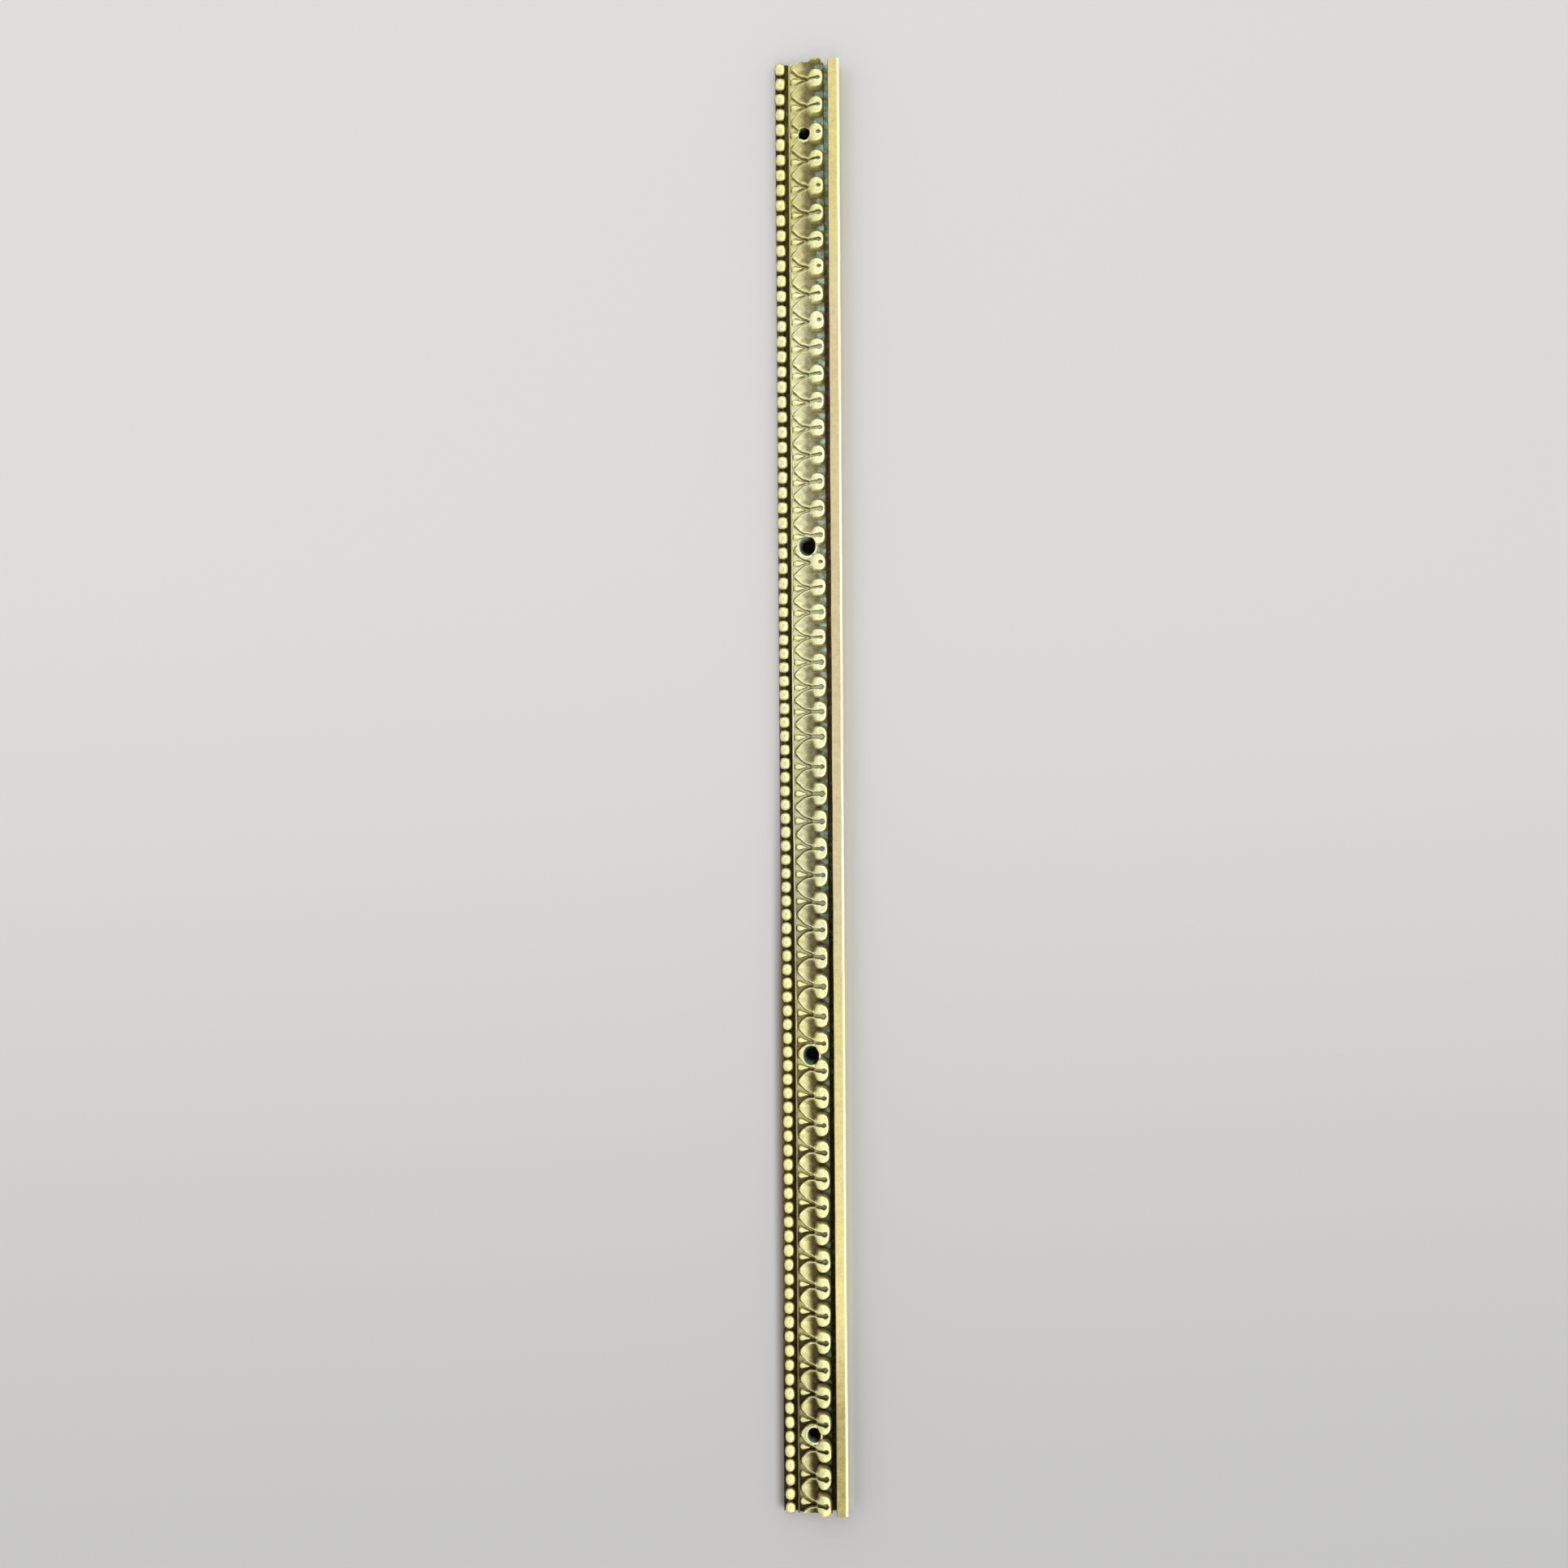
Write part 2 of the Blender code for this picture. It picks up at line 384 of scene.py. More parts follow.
def relief(x, s, side, eye, stem, size, slot_start):
    """The height over the strip's back, the brightness at the far and the near end, and the green crust."""
    inside = s - leaf_edge(x, eye, stem)
    width = HALF - leaf_edge(x, eye, stem)
    beyond_second_leaf = 0.77 * (x - UNDER_LEAF_TIP) - s
    bed = BED + 0.12 * (x - BAND_EDGE) + 0.16 * ease(-0.06, 0.06, beyond_second_leaf)
    rim = 1.2 + 0.85 * dome(x - BAND_EDGE + 0.01, 0.13) * dome(RIM_END - x, 0.14)

    crest = (0.66 + 0.3 * ease(-2.6, -0.6, x)) * ease(0.0, 0.6, width)
    bowl = 0.12 + 0.42 * ease(-2.7, -0.7, x) + 0.5 * ease(-1.4, 0.1, x)
    bowl = bowl * ease(0.1, np.maximum(0.3, 0.85 * width), inside)
    front = 1 - ease(-0.1, 0.6, x)
    leaf = bed + (crest * dome(inside, 0.15) - bowl) * front
    leaf = leaf - 0.14 * np.exp(-(((inside + 0.07) / 0.06) ** 2)) * (x < 0)

    gap = bed - 0.3 * (1 - ease(0.2, 1.2, x))
    start = -0.05 + 0.32 * np.clip(s - 0.45, 0, None) ** 1.1
    round_end = np.hypot(x - SLOT_X, s) - eye
    long_side = np.where((x < SLOT_X) & (x > slot_start), s - stem, FAR_AWAY)
    hollow = np.minimum(round_end, long_side)
    lobe_shape = dome(lobe_inside(x, s, size), 0.5) * dome(x - start, 0.5)
    lobe_top = LOBE_TOP + 0.68 * ease(0.2, 1.5, x)
    lobe = gap + (lobe_top - gap) * lobe_shape * (0.62 + 0.38 * dome(hollow, 0.15))

    rib = gap + 0.3 * np.exp(-(((HALF - s) / 0.11) ** 2)) * ease(-1.2, -0.3, x) * (1 - ease(1.6, 2.8, x))
    dart_shape = dome(1 - s / dart_half(x), 0.9) * dome(x + 3.0, 0.25) * (1 - ease(-1.1, -0.75, x))
    dart = bed + 0.72 * dart_shape

    outside = np.where(inside > 0, leaf, bed)
    outside = np.where(x > 0.2, np.minimum(outside, gap), outside)
    height = np.maximum.reduce([outside, rim, lobe, dart, np.where(x > -1.2, rib, 0)])
    height = SEAM + (height - SEAM) * (1 - ease(3.0, 3.08, x))

    border_width = 0.55 - 0.25 * ease(-2, -0.8, x)
    border = ease(0.0, 0.12, inside) * (1 - ease(0.2, border_width, inside)) * (x < 0.1)
    engraved = np.exp(-(((inside + 0.06) / 0.09) ** 2))
    engraved += 0.7 * np.exp(-((beyond_second_leaf / 0.06) ** 2)) * (inside < 0)
    # Each zone: where it is, and how bright it is at the far and at the near end. Later zones lie on top.
    # The side is 1 on the near side of the slot and -1 on the far side.
    # The near values are painted much darker than the far ones in the hollows, the neck and the engraved
    # lines:
    # tarnish, and painted shade from a more slanting light.
    zones = (
        # At the near end the bed is painted darker on the near side of each slot than on the far side:
        # painted shade.
        (1.0, 0.85, 0.42 - 0.22 * side),
        ((inside > 0) * front, 0.79, 0.90),
        ((inside > 0) * ease(-1.9, -0.1, x), 0.52, 0.22),
        (ease(-0.9, 0.2, x) * (inside <= 0), 0.55, 0.26),
        # The leaf's border is painted bright: its proud edge worn bright, and a painted highlight where light
        # catches it.
        (border, 1.0, 0.97),
        (np.clip(engraved, 0, 1) * (x < 0.1), 0.28, 0.08),
        (ease(0.0, 0.4, dart_shape), 1.0, 0.95),
        (ease(0.1, 0.6, x), 0.46, 0.13),
        (ease(0.2, 0.65, lobe_shape), 1.0, 1.0),
        (ease(0.12, 0.04, hollow) * (x > 0.2), 0.52, 0.26),
        (ease(-0.02, -0.1, hollow) * (x > 0.2), 0.74, 0.46),
        (ease(RIM_END, RIM_END - 0.08, x), 0.90, 0.45),
    )
    far, near = np.zeros_like(x), np.zeros_like(x)
    for weight, far_value, near_value in zones:
        far += (far_value - far) * weight
        near += (near_value - near) * weight
    between_lobes = ease(0.8, 2.1, x) * ease(0.9, 0.2, HALF - s + 2 * ease(0.2, 0.7, lobe_shape))
    in_slot = ease(0.05, -0.03, hollow) * (x > 0.2) * 0.62
    return height, far, near, np.maximum(between_lobes, in_slot)


# %% [markdown]
# The grid's lines are spread unevenly. Across the strip they crowd together at the rim and at the back of the
# lobe, and along it they follow seven lines: the slot's middle, the dart's edge, the leaf's foot and
# crest, two lines up the lobe, and the leaf's axis.

# %% Shape one repeat
COLUMNS = 40
ROWS = (3, 3, 3, 5, 4, 3)


def leaf_repeat(name, eye, stem, size, slot_start=-FAR_AWAY):
    bpy.ops.object.select_all(action="DESELECT")
    bpy.ops.mesh.primitive_grid_add(x_subdivisions=COLUMNS, y_subdivisions=2 * sum(ROWS), size=2)
    repeat = added(name)
    points = points_of(repeat.data)
    across, along = points[:, 0] / 2 + 0.5, points[:, 1]
    lines_across = (BAND_EDGE, RIM_END, -0.95, 0.5, LOBE_SIDES_END, 2.6, BAND_RIGHT / MM)
    x = np.interp(across, (0, 0.1, 0.4, 0.6, 0.7, 0.88, 1), lines_across)

    foot = np.clip(leaf_edge(x, eye, stem), 0.12, HALF - 0.3)
    behind = ease(-0.6, 0.4, x)
    crown = foot + 0.62 * (HALF - foot)
    lobe_edge = np.clip(lobe_half(x, size), foot + 0.5, HALF - 0.1)
    lobe_crest = np.clip(lobe_half(x, size) - 0.42, foot + 0.3, None)
    lines = [
        np.zeros_like(x),
        np.minimum(dart_half(x), foot * 0.7) * (1 - behind) + foot * 0.82 * behind,
        foot - 0.05 * (1 - behind),
        foot + 0.15,
        crown * (1 - behind) + lobe_crest * behind,
        (foot + 0.84 * (HALF - foot)) * (1 - behind) + lobe_edge * behind,
        np.full_like(x, HALF),
    ]
    marks = np.cumsum((0, *ROWS)) / sum(ROWS)
    place = np.abs(along)
    s = np.zeros_like(x)
    for start, stop, line, following in zip(marks, marks[1:], lines, lines[1:]):
        s += np.clip((place - start) / (stop - start), 0, 1) * (following - line)
    height, far, near, green = relief(x, s, -np.sign(along), eye, stem, size, slot_start)
    move_points(repeat.data, np.column_stack((x, np.sign(along) * s, height)) * MM)
    store(repeat.data, far=far, near=near, crusting=green)
    print(name, "has", len(repeat.data.polygons), "faces")
    return repeat


far_kinds = (
    leaf_repeat("small_lobe_open_slot", 0.44, 0.24, 1.86),
    leaf_repeat("small_lobe_narrow_slot", 0.33, 0.17, 1.86),
    leaf_repeat("small_lobe_closed_slot", 0.28, 0.12, 1.86),
    leaf_repeat("small_lobe_dimple", 0.3, 0.12, 1.86, slot_start=1.6),
)
near_kinds = (
    leaf_repeat("large_lobe_open_slot", 0.46, 0.25, 2.22),
    leaf_repeat("large_lobe_narrow_slot", 0.36, 0.18, 2.22),
)

# %% [markdown]
# ## The leaf band
# The repeats differ in their lobes and slots, as chased ones do. In the far half the lobes are small, and
# their slots are open, narrow, nearly closed or worn down to a dimple. In the near half the lobes are large
# and the slots open or narrow. The repeats are copied along the band, each stretched to its own place.
# Because neighbours share the same outer line, their points can be merged into one skin, which is then cut
# off square at the strip's ends and given sides and an underside that sit inside the bar.

# %% Copy the repeats along the band
FAR_LEAVES = 24

random.seed(5)
copies = []
for i, y in enumerate(slots):
    before = (slots[i - 1] - y) / 2 if i else (y - slots[1]) / 2
    after = (y - slots[i + 1]) / 2 if i + 1 < len(slots) else before
    if i < FAR_LEAVES:
        kind = random.choices(far_kinds, weights=(4, 4, 3, 2))[0]
    else:
        kind = random.choices(near_kinds, weights=(8, 3))[0]
    copy = kind.copy()
    copy.data = kind.data.copy()
    bpy.context.scene.collection.objects.link(copy)
    points = points_of(copy.data)
    stretch = np.where(points[:, 1] > 0, before, after) / (HALF * MM)
    points[:, 1] = y + points[:, 1] * stretch
    move_points(copy.data, points)
    copies.append(copy)
for kind in far_kinds + near_kinds:
    bpy.data.objects.remove(kind)
select_only(*copies)
bpy.ops.object.join()
leaf_band = added("leaf_band")
bpy.ops.object.mode_set(mode="EDIT")
bpy.ops.mesh.select_all(action="SELECT")
bpy.ops.mesh.remove_doubles(threshold=0.004 * MM)
for end in (1, -1):
    bpy.ops.mesh.select_all(action="SELECT")
    bpy.ops.mesh.bisect(plane_co=(0, end * END, 0), plane_no=(0, end, 0), clear_outer=True)
bpy.ops.object.mode_set(mode="OBJECT")
print("the band's skin has", len(leaf_band.data.polygons), "faces")

# %% [markdown]
# No two leaves of a hand-finished strip are alike, so the skin is pushed about a little, along and across. In
# the near half the fronts of the leaves also lean towards the far end. The far end is worn softer than the
# rest. A Smooth modifier that follows a vertex group does that gradually.

# %% Make the leaves uneven and wear the far end
points = points_of(leaf_band.data)
x, y, z = points.T
off_end = END - np.abs(y)
nudge = hand_made(points, 3.1 * MM, 0.16 * MM)
nudge[:, 2] = 0.5 * nudge[:, 2] * (0.4 + ease(1.9 * MM, 3.4 * MM, z))
nudge += hand_made(points + 5, 0.9 * MM, 0.045 * MM)
off_sides = ease(0, 0.5 * MM, x - BAND_LEFT) * ease(0, 0.3 * MM, BAND_RIGHT - x)
nudge[:, :2] *= off_sides[:, None]
nudge[:, 1] *= ease(0, 1.5 * MM, off_end)
near_half = ease(5 * MM, -45 * MM, y)
nudge[:, 0] -= 0.22 * MM * (1 - near_half) * ease(-2.2 * MM, -3.3 * MM, x)
leaf_fronts = 1 - ease(-0.9 * MM, 0.7 * MM, x)
nudge[:, 1] += 0.35 * MM * near_half * leaf_fronts * ease(0, 4 * MM, off_end)
move_points(leaf_band.data, points + nudge)
print("no point moved more than", round(float(np.abs(nudge).max()) / MM, 2), "mm on one axis")

worn = leaf_band.vertex_groups.new(name="worn")
for i, y in enumerate(points[:, 1]):
    worn.add([i], 0.12 + 0.75 * float(ease(-20 * MM, 90 * MM, y)), "REPLACE")
smooth = leaf_band.modifiers.new("worn", "SMOOTH")
smooth.factor = 0.5
smooth.iterations = 4
smooth.vertex_group = "worn"
apply_all(leaf_band)

# %% Close the band below
bpy.ops.object.mode_set(mode="EDIT")
bpy.ops.mesh.select_all(action="SELECT")
bpy.ops.mesh.region_to_loop()
bpy.ops.mesh.extrude_region_move(TRANSFORM_OT_translate={"value": (0, 0, -0.2 * MM)})
bpy.ops.transform.resize(value=(1, 1, 0), center_override=(0, 0, LEDGE_TOP - 0.05 * MM))
bpy.ops.mesh.edge_face_add()
bpy.ops.mesh.select_all(action="SELECT")
bpy.ops.mesh.normals_make_consistent(inside=False)
bpy.ops.object.mode_set(mode="OBJECT")
print("the closed band has", len(leaf_band.data.polygons), "faces")

# %% [markdown]
# ## The nail holes
# The holes were drilled through the finished casting from the front, and their mouths were reamed out, more
# on the bead side. Three of them sit in a leaf, and that leaf was left solid, so it is flat and polished
# round the hole. Those leaves are filled first, and then a Boolean cuts each hole with a cutter extruded to
# the shape of the reamer: a round shank that opens into an oval mouth.

# %% Fill the drilled leaves and cut the holes
HOLE_RADIUS = 1.0 * MM


def reamer(from_end, x, mouth_shift, mouth_width, mouth_length, play):
    """A cutter for one hole. The play keeps the bar's hole just wider than the leaf band's above it."""
    centre = Vector((x * MM, END - from_end * MM, 0))
    bpy.ops.object.select_all(action="DESELECT")
    bpy.ops.mesh.primitive_cylinder_add(vertices=40, radius=HOLE_RADIUS + play, depth=3 * MM,
                                        location=centre - Vector((0, 0, 0.8 * MM)))
    cutter = added("reamer")
    select_where(cutter, "FACE", lambda corners: corners[:, 2].min() > 0)
    bpy.ops.mesh.extrude_region_move(TRANSFORM_OT_translate={"value": (mouth_shift * MM, 0, 1.7 * MM)})
    widen = (mouth_width / 2 * MM / HOLE_RADIUS, mouth_length / 2 * MM / HOLE_RADIUS, 1)
    bpy.ops.transform.resize(value=widen, center_override=centre + Vector((mouth_shift * MM, 0, 0)))
    bpy.ops.mesh.extrude_region_move(TRANSFORM_OT_translate={"value": (0, 0, 4 * MM)})
    bpy.ops.object.mode_set(mode="OBJECT")
    return cutter


x, y, z = points_of(leaf_band.data).T / MM
for from_end, hole_x, *_ in nail_holes[1:]:
    nearest = np.argsort([abs(END - from_end * MM - slot) for slot in slots])[:2]
    axis = sum(slots[i] for i in nearest) / 2 / MM
    off_axis = np.abs(y - axis)
    inside = HALF - leaf_edge(x, 0.4, 0.2) - off_axis
    solid = ease(0.02, 0.12, inside) * ease(-3.05, -2.85, x) * (1 - ease(1.5, 2.1, x)) * (off_axis < 2.4)
    level = 2.1 + 0.12 * (x - BAND_EDGE) + 0.3 * ease(-2.6, -0.6, x)
    z = z + np.maximum(level - z, 0) * solid
move_points(leaf_band.data, np.column_stack((x, y, z)) * MM)
for nail_hole in nail_holes:
    for piece, play in ((leaf_band, 0), (bar, 0.02 * MM)):
        cutter = reamer(*nail_hole, play)
        hole = piece.modifiers.new("nail_hole", "BOOLEAN")
        hole.operation = "DIFFERENCE"
        hole.solver = "EXACT"
        hole.object = cutter
        apply_all(piece)
        bpy.data.objects.remove(cutter)
select_only(leaf_band)
bpy.ops.object.shade_smooth_by_angle(angle=math.radians(50))
print("the drilled band has", len(leaf_band.data.polygons), "faces")

# %% [markdown]
# ## Where the brass is bright and where it is dark
# Old brass is worn bright on whatever stands proud, and keeps brown and green tarnish wherever a cloth can't
# reach. The dark in the hollows and grooves is also painted shade, because metal that reflects the lamps
# stays bright in a recess. The leaves already carry two such patterns, far and near; the near one is painted
# much darker in its hollows and on one side of each slot, as tarnish and painted shade from a more slanting
# light. Here they are blended along the strip into one number, from 0 for grime and painted shade to 1 for
# bright metal. Three more numbers say where the metal has turned to a green crust, where its colour is
# golden, and where the fillet's edge is polished and painted paler as a painted highlight. The faces that are
# walls of the holes are marked too, because they get a near-black material of their own, painted shade down
# in the hole.


# %% Store the wear and the painted shade on the points
def golden(y):
    """The middle of the strip is pinkish and both of its ends are yellow."""
    return np.maximum(ease(85, 112, y), ease(-15, -50, y))


def mouth_reach(x, y, from_end, hole_x, shift, mouth_width, mouth_length):
    """1 on the edge of the hole's mouth, and less inside it."""
    return np.hypot((x - hole_x - shift) / mouth_width, (y - END / MM + from_end) / mouth_length) * 2


x, y, z = points_of(leaf_band.data).T / MM
near_half = ease(20, -90, y)
far_end = ease(84, 116, y)
# Towards the near end the near pattern takes over, painted darker in its hollows as tarnish and painted
# shade.
rubbed = stored(leaf_band.data, "far") * (1 - near_half) + stored(leaf_band.data, "near") * near_half
rubbed -= 0.12 * ease(90, 110, y) + 0.12 * ease(-95, -118, y) + 0.08 * ease(30, 5, y) * ease(-45, -25, y)
# In the grooves below the leaves' bed the band is painted nearly black: grime, and painted shade; less at the
# far end.
rubbed = np.where(z < 1.3, 0.05 + 0.3 * far_end, np.maximum(rubbed, 0.36 * far_end))
green = stored(leaf_band.data, "crusting") * (0.85 - 0.1 * near_half + 0.3 * ease(60, 120, y))
middles = np.array([face.center for face in leaf_band.data.polygons]) / MM
hole_walls = np.zeros(len(middles), np.int32)
for nail_hole in nail_holes:
    reach = mouth_reach(x, y, *nail_hole)
    left_of_hole = ease(0.5, -0.6, x - nail_hole[1])
    rubbed = np.maximum(rubbed, ease(1.35, 1.15, reach))
    # Inside each mouth only the bead side, high up, gets green crust; the rest of the wall stays near-black
    # painted shade.
    green = np.where(reach < 1.02, left_of_hole * ease(0.9, 1.9, z), green)
    hole_walls[mouth_reach(middles[:, 0], middles[:, 1], *nail_hole) < 0.995] = 1
store(leaf_band.data, rubbed=rubbed, green=green, gold=golden(y))

x, y, z = points_of(bead_row.data).T / MM
# The beads are painted lighter on top, and darker low down and on the side that faces the groove.
facing_groove = ease(-4.6, -4.1, x - bow(y * MM) / MM)
rubbed = (0.12 + 0.86 * ease(1.2, 1.75, z)) * (1 - 0.4 * facing_groove) - 0.1 * ease(90, 110, y)
store(bead_row.data, rubbed=rubbed, green=np.zeros_like(z), gold=golden(y))

x, y, z = points_of(bar.data).T / MM
far_end = ease(84, 116, y)
in_grooves = (z > 0.5) & (z < 3.75) & (x < 3.9) & (x > -5.99)
# In the grooves the bar is painted nearly black: grime, and painted shade beside the fillet's wall and the
# beads,
# darker towards the near end.
groove_grime_and_shade = 0.05 + 0.25 * (x > 2) * ease(-40, 20, y) + 0.22 * far_end
filed = 0.35 + 0.58 * ease(2, 3.6, z) - 0.33 * ease(-95, -122, y) - 0.1 * ease(95, 115, y)
rubbed = np.where(in_grooves, groove_grime_and_shade, filed)
rubbed[np.abs(x) < 3] = 0
green = in_grooves * (0.35 * (x > 2) + 0.4 * far_end) * ease(3, 1, z)
# The fillet's rounded outer edge is polished, and its colour is painted paler there as a painted highlight.
polish = ease(5.42, 5.56, x) * ease(3.2, 3.6, z)
store(bar.data, rubbed=rubbed, polish=polish, green=green, gold=golden(y))
for piece in (leaf_band, bead_row, bar):
    print(piece.name, "is rubbed", round(float(stored(piece.data, "rubbed").mean()), 2), "on average")

# %% [markdown]
# ## The brass
# One recipe makes all the brass. The wear-and-shade number picks a colour from five states of the metal, from
# nearly black grime and painted shade over brown and olive to bright. Noise breaks up the borders between
# them, because tarnish never ends on a clean line. The green crust is laid over that in patches. Grime and
# crust are no longer metal at the surface, so they are rough and lose the metallic look, and the painted
# shade is drawn the same way.


# %% Node helpers
def new_material(name):
    material = bpy.data.materials.new(name)
    material.use_nodes = True
    tree = material.node_tree
    return material, tree, tree.nodes["Principled BSDF"]


def attribute(tree, name):
    node = tree.nodes.new("ShaderNodeAttribute")
    node.attribute_name = name
    return node.outputs["Fac"]


def grain(tree, size, stretch=(1, 1, 1), detail=3.0, rough=0.6):
    """Noise with features of about the given size in metres."""
    place = tree.nodes.new("ShaderNodeTexCoord")
    mapping = tree.nodes.new("ShaderNodeMapping")
    mapping.inputs["Scale"].default_value = stretch
    texture = tree.nodes.new("ShaderNodeTexNoise")
    texture.inputs["Scale"].default_value = 1 / size
    texture.inputs["Detail"].default_value = detail
    texture.inputs["Roughness"].default_value = rough
    tree.links.new(place.outputs["Object"], mapping.inputs["Vector"])
    tree.links.new(mapping.outputs["Vector"], texture.inputs["Vector"])
    return texture.outputs["Fac"]


def maths(tree, operation, a, b):
    node = tree.nodes.new("ShaderNodeMath")
    node.operation = operation
    for socket, value in zip(node.inputs, (a, b)):
        if isinstance(value, (int, float)):
            socket.default_value = value
        else:
            tree.links.new(value, socket)
    return node.outputs[0]


def between(tree, value, start, stop):
    """Turns a value into 0 at start and 1 at stop."""
    node = tree.nodes.new("ShaderNodeMapRange")
    node.interpolation_type = "SMOOTHSTEP"
    node.inputs["From Min"].default_value = start
    node.inputs["From Max"].default_value = stop
    tree.links.new(value, node.inputs["Value"])
    return node.outputs["Result"]


def mixed(tree, factor, first, second):
    """A colour or a number that goes from first to second as the factor rises."""
    numbers = isinstance(first, (int, float)) or isinstance(second, (int, float))
    node = tree.nodes.new("ShaderNodeMix")
    node.data_type = "FLOAT" if numbers else "RGBA"
    a, b, out = (2, 3, 0) if numbers else (6, 7, 2)
    tree.links.new(factor, node.inputs[0])
    for place, value in ((a, first), (b, second)):
        if isinstance(value, bpy.types.NodeSocket):
            tree.links.new(value, node.inputs[place])
        else:
            node.inputs[place].default_value = value if numbers else (*value, 1)
    return node.outputs[out]


# %% The aged brass
# The two darkest states stand for grime and for painted shade in hollows and grooves.
STATES = (
    (0.00, (0.020, 0.012, 0.005)),
    (0.25, (0.110, 0.085, 0.040)),
    (0.50, (0.380, 0.345, 0.200)),
    (0.75, (0.640, 0.610, 0.350)),
    (1.00, (0.900, 0.875, 0.520)),
)
PALE_CRUST = (0.50, 0.68, 0.575)
DARK_CRUST = (0.10, 0.17, 0.125)
# A polished edge, painted paler than the metal alone as a painted highlight.
POLISHED_EDGE_WITH_HIGHLIGHT = (0.90, 0.84, 0.54)
# Painted shade: near black deep down each nail hole.
SHADE_DEEP_IN_HOLE = (0.010, 0.008, 0.005)
GREEN_IN_HOLE = (0.22, 0.31, 0.24)


def states_of_brass(tree, rubbed, tint):
    ramp = tree.nodes.new("ShaderNodeValToRGB")
    for i, (place, colour) in enumerate(STATES):
        stop = ramp.color_ramp.elements[i] if i < 2 else ramp.color_ramp.elements.new(place)
        stop.position = place
        stop.color = (*(c * t for c, t in zip(colour, tint)), 1)
    tree.links.new(rubbed, ramp.inputs["Fac"])
    return ramp.outputs["Color"]


def aged_brass(name, tint, golden_tint, streak=(1, 1, 1)):
    """Brass whose states are tinted by tint, or by golden_tint where the points say gold."""
    material, tree, shader = new_material(name)
    patches = grain(tree, 1.1 * MM)
    specks = grain(tree, 0.28 * MM, detail=4.0)
    drift = grain(tree, 26 * MM, detail=1.0)

    uneven = maths(tree, "MULTIPLY", maths(tree, "ADD", patches, specks), 0.30)
    rubbed = maths(tree, "SUBTRACT", maths(tree, "ADD", attribute(tree, "rubbed"), uneven), 0.30)
    broken = maths(tree, "ADD", maths(tree, "MULTIPLY", patches, 1.2), maths(tree, "MULTIPLY", drift, 0.8))
    crusted = maths(tree, "ADD", attribute(tree, "green"), broken)
    crusted = between(tree, maths(tree, "SUBTRACT", crusted, 1.0), 0.35, 0.95)

    first = states_of_brass(tree, rubbed, tint)
    second = states_of_brass(tree, rubbed, golden_tint)
    colour = mixed(tree, attribute(tree, "gold"), first, second)
    cleaned = between(tree, maths(tree, "MULTIPLY", patches, rubbed), 0.04, 0.36)
    crust = mixed(tree, cleaned, DARK_CRUST, PALE_CRUST)
    # The polished fillet edge is painted paler, partly a painted highlight.
    colour = mixed(tree, attribute(tree, "polish"), colour, POLISHED_EDGE_WITH_HIGHLIGHT)
    colour = mixed(tree, crusted, colour, crust)
    metal = between(tree, rubbed, 0.1, 0.5)
    roughness = mixed(tree, between(tree, rubbed, 0.3, 0.95), 0.75, mixed(tree, specks, 0.34, 0.52))
    roughness = mixed(tree, crusted, roughness, 0.9)
    metallic = mixed(tree, crusted, metal, 0.0)
    tree.links.new(colour, shader.inputs["Base Color"])
    tree.links.new(roughness, shader.inputs["Roughness"])
    tree.links.new(metallic, shader.inputs["Metallic"])
    tree.links.new(mixed(tree, metal, 0.06, 0.25), shader.inputs["Specular IOR Level"])
    tree.links.new(mixed(tree, between(tree, rubbed, 0.5, 1.0), 0.0, 0.3), shader.inputs["Coat Weight"])
    shader.inputs["Coat Roughness"].default_value = 0.3

    marks = grain(tree, 0.35 * MM, stretch=streak, detail=5.0)
    bump = tree.nodes.new("ShaderNodeBump")
    bump.inputs["Strength"].default_value = 0.3
    bump.inputs["Distance"].default_value = 0.03 * MM
    tree.links.new(marks, bump.inputs["Height"])
    tree.links.new(bump.outputs["Normal"], shader.inputs["Normal"])
    return material


leaf_brass = aged_brass("chased_brass", tint=(1.0, 1.0, 1.0), golden_tint=(1.0, 0.98, 0.78))
bead_brass = aged_brass("bead_brass", tint=(0.86, 0.85, 0.74), golden_tint=(0.98, 0.95, 0.68))
bar_brass = aged_brass("filed_brass", tint=(0.80, 0.68, 0.62), golden_tint=(0.86, 0.755, 0.50),
                       streak=(1, 0.08, 1))
# The hole walls are painted near black as painted shade, with green crust where the green number says so.
shaded_hole_wall, tree, shader = new_material("hole_wall_in_painted_shade")
wall_colour = mixed(tree, attribute(tree, "green"), SHADE_DEEP_IN_HOLE, GREEN_IN_HOLE)
tree.links.new(wall_colour, shader.inputs["Base Color"])
shader.inputs["Roughness"].default_value = 0.7
shader.inputs["Specular IOR Level"].default_value = 0.1
for piece, material in ((leaf_band, leaf_brass), (bead_row, bead_brass), (bar, bar_brass)):
    piece.data.materials.clear()
    piece.data.materials.append(material)
    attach(piece, "root")
    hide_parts("moulding_strip")
    print(piece.name, "is", material.name)
leaf_band.data.materials.append(shaded_hole_wall)
leaf_band.data.polygons.foreach_set("material_index", hole_walls)
leaf_band.data.update()

# %% [markdown]
# ## Floor, light and camera
# The strip lies on a pale, plain table and is seen from straight above. A long soft light on the right shows
# only in reflections and makes the rounded edge of the fillet shine along its whole length. The other lights
# are weaker and fill the hollows. The table's colour is painted darker towards the near end as painted shade,
# and it carries a painted soft shadow beside the near half of the bead row and a painted warm gleam of
# reflected light beside the fillet. Hardly any light gets down a nail hole, but the bright table would still
# shine through it, so a near-black sheet lies under the strip as painted shade.

# %% The table
FAR_PAPER = (0.700, 0.675, 0.642)
NEAR_PAPER = (0.557, 0.537, 0.516)
SHADED_PAPER = (0.24, 0.215, 0.19)
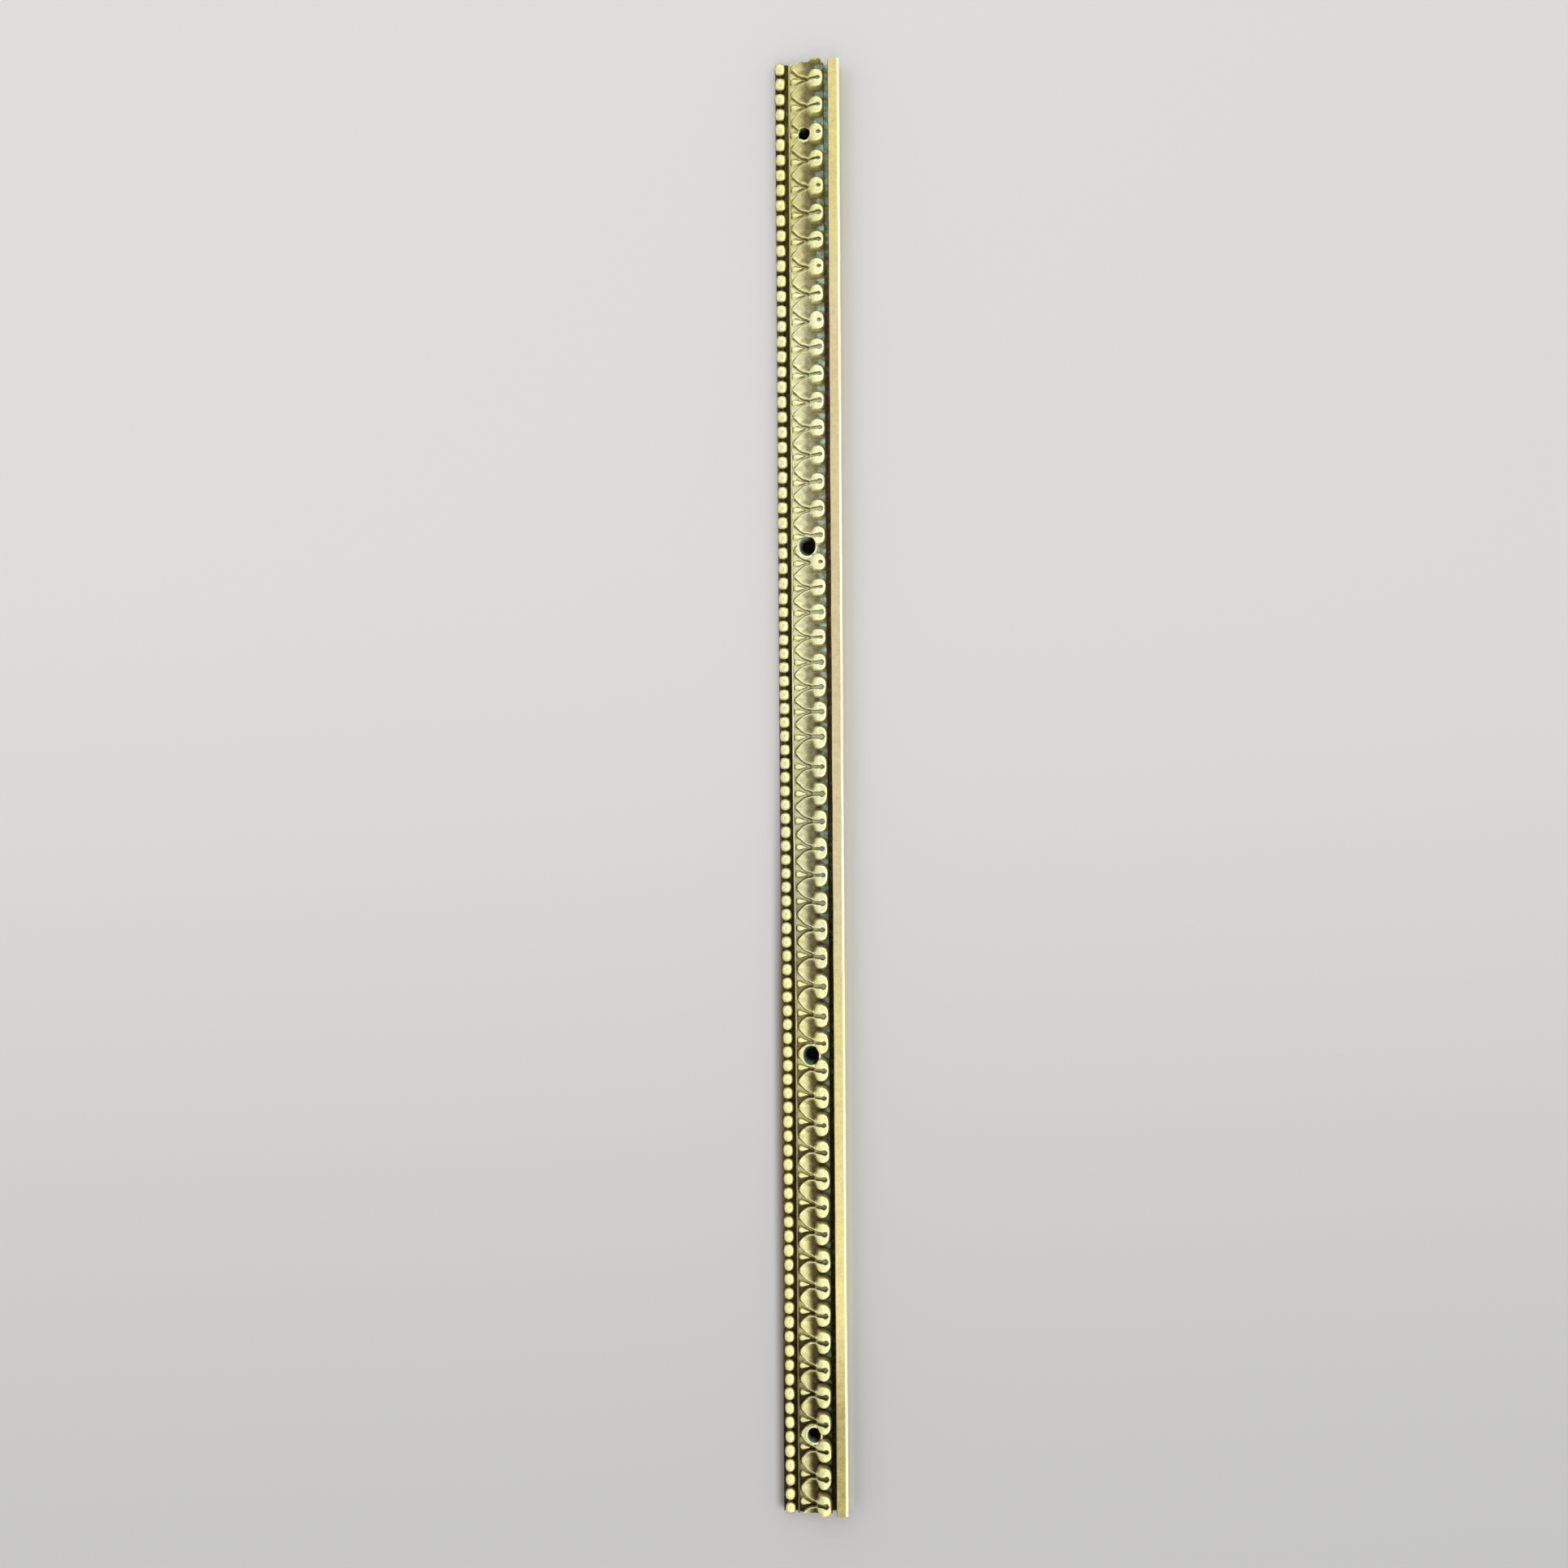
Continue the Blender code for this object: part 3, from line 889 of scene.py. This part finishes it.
# Painted reflected light: a warm gleam on the table beside the fillet.
GLEAM_ON_PAPER = (0.86, 0.82, 0.70)

bpy.ops.object.select_all(action="DESELECT")
bpy.ops.mesh.primitive_plane_add(size=3, location=(0, 0, -0.02 * MM))
table = added("table")
paper, tree, shader = new_material("pale_table")
place = tree.nodes.new("ShaderNodeTexCoord")
axes = tree.nodes.new("ShaderNodeSeparateXYZ")
tree.links.new(place.outputs["Object"], axes.inputs["Vector"])
# Painted shade: the table is painted darker towards the near end, where less light reaches it.
further_off = between(tree, axes.outputs["Y"], -170 * MM, 50 * MM)
paper_colour = mixed(tree, further_off, NEAR_PAPER, FAR_PAPER)
from_middle = maths(tree, "ABSOLUTE", axes.outputs["Y"], 0.0)
alongside = maths(tree, "SUBTRACT", 1.0, between(tree, from_middle, END - 1.5 * MM, END + 0.8 * MM))
near = maths(tree, "SUBTRACT", 1.0, between(tree, axes.outputs["Y"], -50 * MM, 20 * MM))
left = maths(tree, "LESS_THAN", axes.outputs["X"], 0.0)
shadow = maths(tree, "MULTIPLY", between(tree, axes.outputs["X"], -SIDE - 2 * MM, -SIDE), left)
shadow = maths(tree, "MULTIPLY", maths(tree, "MULTIPLY", shadow, near), alongside)
mirrored = maths(tree, "MULTIPLY", axes.outputs["X"], -1.0)
right = maths(tree, "SUBTRACT", 1.0, left)
# Painted reflected light: the gleam lies on the table just right of the strip.
gleam = maths(tree, "MULTIPLY", between(tree, mirrored, -SIDE - 1.8 * MM, -SIDE), right)
gleam = maths(tree, "MULTIPLY", gleam, alongside)
paper_colour = mixed(tree, shadow, paper_colour, SHADED_PAPER)
tree.links.new(mixed(tree, gleam, paper_colour, GLEAM_ON_PAPER), shader.inputs["Base Color"])
shader.inputs["Roughness"].default_value = 0.8
shader.inputs["Specular IOR Level"].default_value = 0.2
table.data.materials.append(paper)

# Painted shade: a near-black sheet under the strip, seen down the nail holes.
bpy.ops.object.select_all(action="DESELECT")
bpy.ops.mesh.primitive_plane_add(size=LENGTH - 8 * MM, location=(0, 0, -0.01 * MM))
bpy.ops.transform.resize(value=(0.03, 1, 1), center_override=(0, 0, 0))
shade = added("painted_shade_under_strip")
dark, tree, shader = new_material("painted_shade_sheet")
shader.inputs["Base Color"].default_value = (0.01, 0.01, 0.008, 1)
shader.inputs["Roughness"].default_value = 1.0
shader.inputs["Specular IOR Level"].default_value = 0.0
shade.data.materials.append(dark)
print(table.name, "and", shade.name, "are staged")


# %% The lights
def soft_light(name, place, size, power, only_reflected=False):
    light = bpy.data.lights.new(name, "AREA")
    light.shape = "RECTANGLE"
    light.size, light.size_y = size
    light.energy = power
    lamp = bpy.data.objects.new(name, light)
    lamp.location = place
    lamp.rotation_euler = (-Vector(place)).to_track_quat("-Z", "Y").to_euler()
    lamp.visible_diffuse = not only_reflected
    bpy.context.scene.collection.objects.link(lamp)
    print(name, "gives", power, "W")


soft_light("window", (0.58, 0.00, 0.42), (1.8, 0.6), 5.4, only_reflected=True)
soft_light("far_side", (-0.10, 0.70, 0.60), (0.5, 0.5), 1.0)
soft_light("near_side", (0.00, -0.60, 0.80), (0.5, 0.4), 0.8)
soft_light("left_side", (-0.80, 0.10, 0.75), (1.0, 0.5), 1.0)
room = bpy.data.worlds.new("room")
room.use_nodes = True
room.node_tree.nodes["Background"].inputs["Color"].default_value = (0.93, 0.96, 1.0, 1)
room.node_tree.nodes["Background"].inputs["Strength"].default_value = 0.90
bpy.context.scene.world = room
bpy.context.scene.view_settings.view_transform = "Standard"

# %% The camera
camera = bpy.data.cameras.new("camera")
camera.sensor_width = 36
camera.lens = 36.9
camera.clip_start = 0.01
eye = bpy.data.objects.new("camera", camera)
eye.location = (-5.2 * MM, 0.7 * MM, 303.5 * MM)
eye.rotation_euler = (0, 0, math.radians(-0.37))
bpy.context.scene.collection.objects.link(eye)
bpy.context.scene.camera = eye
print(f"the camera looks down from {eye.location.z / MM:.1f} mm")
